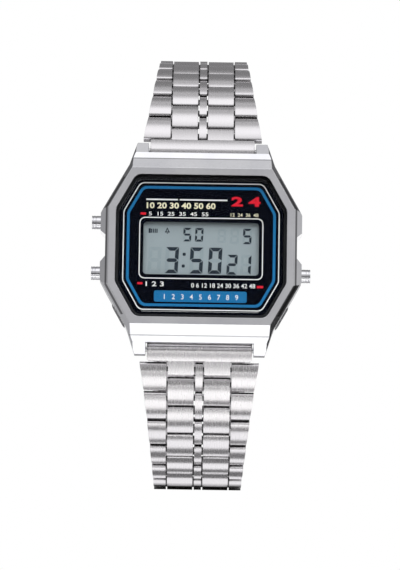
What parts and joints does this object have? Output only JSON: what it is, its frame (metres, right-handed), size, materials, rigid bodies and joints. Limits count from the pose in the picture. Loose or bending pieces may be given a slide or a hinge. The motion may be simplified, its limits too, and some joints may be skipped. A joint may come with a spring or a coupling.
{
  "type": "digital watch",
  "caption": "Digital wristwatch with a chromed eight-sided case, a liquid crystal display, push buttons and a steel link bracelet with a folding clasp.",
  "frame": {"origin": "middle of the outer face of the case back", "axes": "-Y out of the dial, +Y into the bracelet loop, +Z towards 12 o'clock and the upper half of the bracelet, +X to the right of the dial"},
  "size_m": [0.0366, 0.0532, 0.0761],
  "materials": {
    "chrome": "polished",
    "bracelet_steel": "satin, brushed lengthwise",
    "back_steel": "satin",
    "works_steel": "bright",
    "crystal": "clear, polished",
    "dial": "printed",
    "display": "grey-green, satin",
    "rubber": "matte",
    "black_plastic": "matte",
    "pale_plastic": "matte",
    "board": "lacquered",
    "lamp": "clear",
    "copper": "lacquered wire",
    "brass": "bright"
  },
  "bodies": {
    "case": {"case_body": "chrome", "crystal": "crystal", "crystal_gasket": "rubber", "dial_plate": "dial", "lcd_holder": "black_plastic", "lcd_panel": "display", "contact_strips": "rubber", "backlight_lamp": "lamp", "module_frame": "pale_plastic", "circuit_board": "board", "chip_blob": "black_plastic", "quartz_can": "works_steel", "buzzer_coil": "copper", "battery": "works_steel", "battery_strap": "works_steel", "button_contacts": "brass", "buzzer_spring": "works_steel", "piezo_disc": "brass", "back_gasket": "rubber", "case_back": "back_steel", "back_screws": "works_steel", "button_seals": "rubber", "lug_spring_bars": "works_steel", "light_button_spring": "works_steel", "mode_button_spring": "works_steel", "start_button_spring": "works_steel"},
    "light_button": {"light_button": "chrome"},
    "mode_button": {"mode_button": "chrome"},
    "start_button": {"start_button": "chrome"},
    "end_link_top": {"end_link_top": "bracelet_steel"},
    "top_link_1": {"top_link_1": "bracelet_steel"},
    "top_link_2": {"top_link_2": "bracelet_steel"},
    "top_link_3": {"top_link_3": "bracelet_steel"},
    "top_link_4": {"top_link_4": "bracelet_steel"},
    "top_link_5": {"top_link_5": "bracelet_steel"},
    "top_link_6": {"top_link_6": "bracelet_steel"},
    "top_link_7": {"top_link_7": "bracelet_steel"},
    "top_link_8": {"top_link_8": "bracelet_steel"},
    "top_link_9": {"top_link_9": "bracelet_steel"},
    "top_link_10": {"top_link_10": "bracelet_steel"},
    "clasp_inner_blade": {"clasp_inner_blade": "bracelet_steel", "clasp_blade_pins": "works_steel"},
    "clasp_outer_blade": {"clasp_outer_blade": "bracelet_steel"},
    "clasp_cover": {"clasp_cover": "bracelet_steel", "clasp_cover_pin": "works_steel"},
    "end_link_bottom": {"end_link_bottom": "bracelet_steel"},
    "bottom_link_1": {"bottom_link_1": "bracelet_steel"},
    "bottom_link_2": {"bottom_link_2": "bracelet_steel"},
    "bottom_link_3": {"bottom_link_3": "bracelet_steel"},
    "bottom_link_4": {"bottom_link_4": "bracelet_steel"},
    "bottom_link_5": {"bottom_link_5": "bracelet_steel"},
    "bottom_link_6": {"bottom_link_6": "bracelet_steel"},
    "bottom_link_7": {"bottom_link_7": "bracelet_steel"},
    "bottom_link_8": {"bottom_link_8": "bracelet_steel"},
    "bottom_link_9": {"bottom_link_9": "bracelet_steel"},
    "bottom_link_10": {"bottom_link_10": "bracelet_steel"},
    "bottom_link_11": {"bottom_link_11": "bracelet_steel", "clasp_spring_bar": "works_steel"}
  },
  "joints": [
    {"name": "light_button_push", "type": "slide", "parent": "case", "child": "light_button", "axis": [1, 0, 0], "range_m": [0, 0.0007], "stiffness_N_per_m": 1000, "springref_m": -0.0005, "deforming": ["light_button_spring"]},
    {"name": "mode_button_push", "type": "slide", "parent": "case", "child": "mode_button", "axis": [1, 0, 0], "range_m": [0, 0.0007], "stiffness_N_per_m": 1000, "springref_m": -0.0005, "deforming": ["mode_button_spring"]},
    {"name": "start_button_push", "type": "slide", "parent": "case", "child": "start_button", "axis": [-1, 0, 0], "range_m": [0, 0.0007], "stiffness_N_per_m": 1000, "springref_m": -0.0005, "deforming": ["start_button_spring"]},
    {"name": "end_link_top_swing", "type": "hinge", "parent": "case", "child": "end_link_top", "pos_m": [0, -0.0029, 0.01685], "axis": [-1, 0, 0], "range_deg": [-26, 0]},
    {"name": "top_link_1_hinge", "type": "hinge", "parent": "end_link_top", "child": "top_link_1", "pos_m": [0, -0.00145, 0.01982], "axis": [-1, 0, 0], "range_deg": [-3, 0]},
    {"name": "top_link_2_hinge", "type": "hinge", "parent": "top_link_1", "child": "top_link_2", "pos_m": [0, 0.00102, 0.02428], "axis": [-1, 0, 0], "range_deg": [-9, 0]},
    {"name": "top_link_3_hinge", "type": "hinge", "parent": "top_link_2", "child": "top_link_3", "pos_m": [0, 0.00416, 0.0283], "axis": [-1, 0, 0], "range_deg": [-11.5, 0]},
    {"name": "top_link_4_hinge", "type": "hinge", "parent": "top_link_3", "child": "top_link_4", "pos_m": [0, 0.00804, 0.03161], "axis": [-1, 0, 0], "range_deg": [-12, 0]},
    {"name": "top_link_5_hinge", "type": "hinge", "parent": "top_link_4", "child": "top_link_5", "pos_m": [0, 0.01252, 0.03404], "axis": [-1, 0, 0], "range_deg": [-9, 0]},
    {"name": "top_link_6_hinge", "type": "hinge", "parent": "top_link_5", "child": "top_link_6", "pos_m": [0, 0.01733, 0.03574], "axis": [-1, 0, 0], "range_deg": [-10, 0]},
    {"name": "top_link_7_hinge", "type": "hinge", "parent": "top_link_6", "child": "top_link_7", "pos_m": [0, 0.02236, 0.03659], "axis": [-1, 0, 0], "range_deg": [-24, 0]},
    {"name": "top_link_8_hinge", "type": "hinge", "parent": "top_link_7", "child": "top_link_8", "pos_m": [0, 0.02729, 0.03531], "axis": [-1, 0, 0], "range_deg": [-22, 0]},
    {"name": "top_link_9_hinge", "type": "hinge", "parent": "top_link_8", "child": "top_link_9", "pos_m": [0, 0.03139, 0.03227], "axis": [-1, 0, 0], "range_deg": [-14, 0]},
    {"name": "top_link_10_hinge", "type": "hinge", "parent": "top_link_9", "child": "top_link_10", "pos_m": [0, 0.03464, 0.02834], "axis": [-1, 0, 0], "range_deg": [-7, 0]},
    {"name": "clasp_swing", "type": "hinge", "parent": "top_link_10", "child": "clasp_inner_blade", "pos_m": [0, 0.03738, 0.02404], "axis": [-1, 0, 0], "range_deg": [-20, 0]},
    {"name": "blade_fold", "type": "hinge", "parent": "clasp_inner_blade", "child": "clasp_outer_blade", "pos_m": [0, 0.03893, -0.01719], "axis": [-1, 0, 0], "range_deg": [0, 110]},
    {"name": "cover_fold", "type": "hinge", "parent": "clasp_outer_blade", "child": "clasp_cover", "pos_m": [0, 0.0387, 0.02202], "axis": [1, 0, 0], "range_deg": [0, 110]},
    {"name": "end_link_bottom_swing", "type": "hinge", "parent": "case", "child": "end_link_bottom", "pos_m": [0, -0.0029, -0.01685], "axis": [1, 0, 0], "range_deg": [-17, 0]},
    {"name": "bottom_link_1_hinge", "type": "hinge", "parent": "end_link_bottom", "child": "bottom_link_1", "pos_m": [0, -0.00194, -0.02001], "axis": [1, 0, 0], "range_deg": [-5.5, 0]},
    {"name": "bottom_link_2_hinge", "type": "hinge", "parent": "bottom_link_1", "child": "bottom_link_2", "pos_m": [0, 0.00002, -0.02472], "axis": [1, 0, 0], "range_deg": [-7.5, 0]},
    {"name": "bottom_link_3_hinge", "type": "hinge", "parent": "bottom_link_2", "child": "bottom_link_3", "pos_m": [0, 0.00257, -0.02913], "axis": [1, 0, 0], "range_deg": [-14.5, 0]},
    {"name": "bottom_link_4_hinge", "type": "hinge", "parent": "bottom_link_3", "child": "bottom_link_4", "pos_m": [0, 0.00614, -0.03277], "axis": [1, 0, 0], "range_deg": [-14, 0]},
    {"name": "bottom_link_5_hinge", "type": "hinge", "parent": "bottom_link_4", "child": "bottom_link_5", "pos_m": [0, 0.01049, -0.03544], "axis": [1, 0, 0], "range_deg": [-12, 0]},
    {"name": "bottom_link_6_hinge", "type": "hinge", "parent": "bottom_link_5", "child": "bottom_link_6", "pos_m": [0, 0.0153, -0.03714], "axis": [1, 0, 0], "range_deg": [-13.5, 0]},
    {"name": "bottom_link_7_hinge", "type": "hinge", "parent": "bottom_link_6", "child": "bottom_link_7", "pos_m": [0, 0.02037, -0.03767], "axis": [1, 0, 0], "range_deg": [-23, 0]},
    {"name": "bottom_link_8_hinge", "type": "hinge", "parent": "bottom_link_7", "child": "bottom_link_8", "pos_m": [0, 0.02525, -0.03618], "axis": [1, 0, 0], "range_deg": [-20, 0]},
    {"name": "bottom_link_9_hinge", "type": "hinge", "parent": "bottom_link_8", "child": "bottom_link_9", "pos_m": [0, 0.02932, -0.03311], "axis": [1, 0, 0], "range_deg": [-14, 0]},
    {"name": "bottom_link_10_hinge", "type": "hinge", "parent": "bottom_link_9", "child": "bottom_link_10", "pos_m": [0, 0.03253, -0.02915], "axis": [1, 0, 0], "range_deg": [-7, 0]},
    {"name": "bottom_link_11_hinge", "type": "hinge", "parent": "bottom_link_10", "child": "bottom_link_11", "pos_m": [0, 0.03523, -0.02482], "axis": [1, 0, 0], "range_deg": [-3, 0]}
  ],
  "couplings": [
    {"joint": "cover_fold", "follows": "blade_fold", "ratio": 1}
  ]
}
